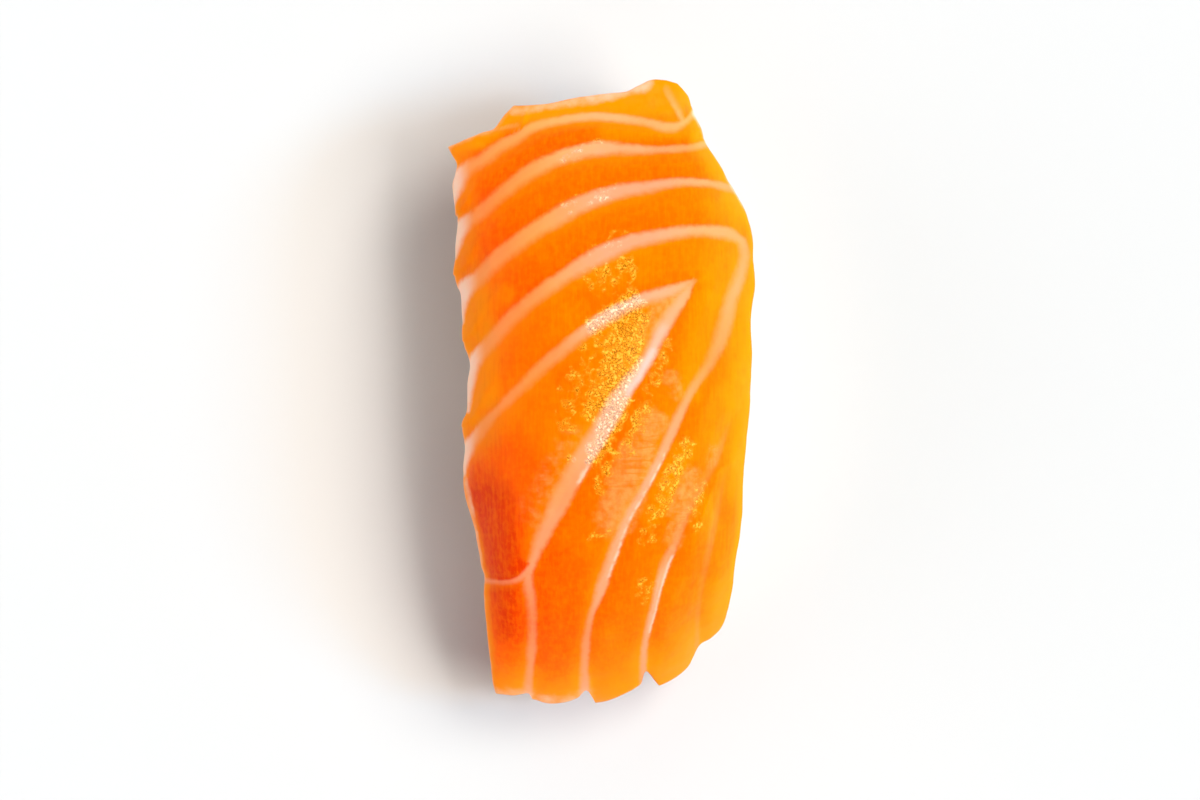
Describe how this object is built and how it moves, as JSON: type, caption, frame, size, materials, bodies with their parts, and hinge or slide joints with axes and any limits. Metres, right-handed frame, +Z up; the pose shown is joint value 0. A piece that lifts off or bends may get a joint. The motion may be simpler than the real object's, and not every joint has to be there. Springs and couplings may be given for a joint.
{
  "type": "salmon nigiri",
  "caption": "Slice of raw salmon draped over a pressed oblong bed of sushi rice, with its flakes parting at one end.",
  "frame": {"origin": "on the table, under the centre of the slice's outline", "axes": "+Y along the slice to its cut-off end, with the parted flakes at -Y; +X across it; +Z up"},
  "size_m": [0.0322, 0.066, 0.027],
  "materials": {
    "salmon": "moist raw salmon: saturated orange muscle, redder towards one side, crossed by pale bands of fat",
    "rice": "cooked short-grain rice, slightly translucent off-white with a soft sheen"
  },
  "bodies": {
    "root": {"salmon_slice": "salmon", "rice_bed": "rice"}
  },
  "joints": []
}
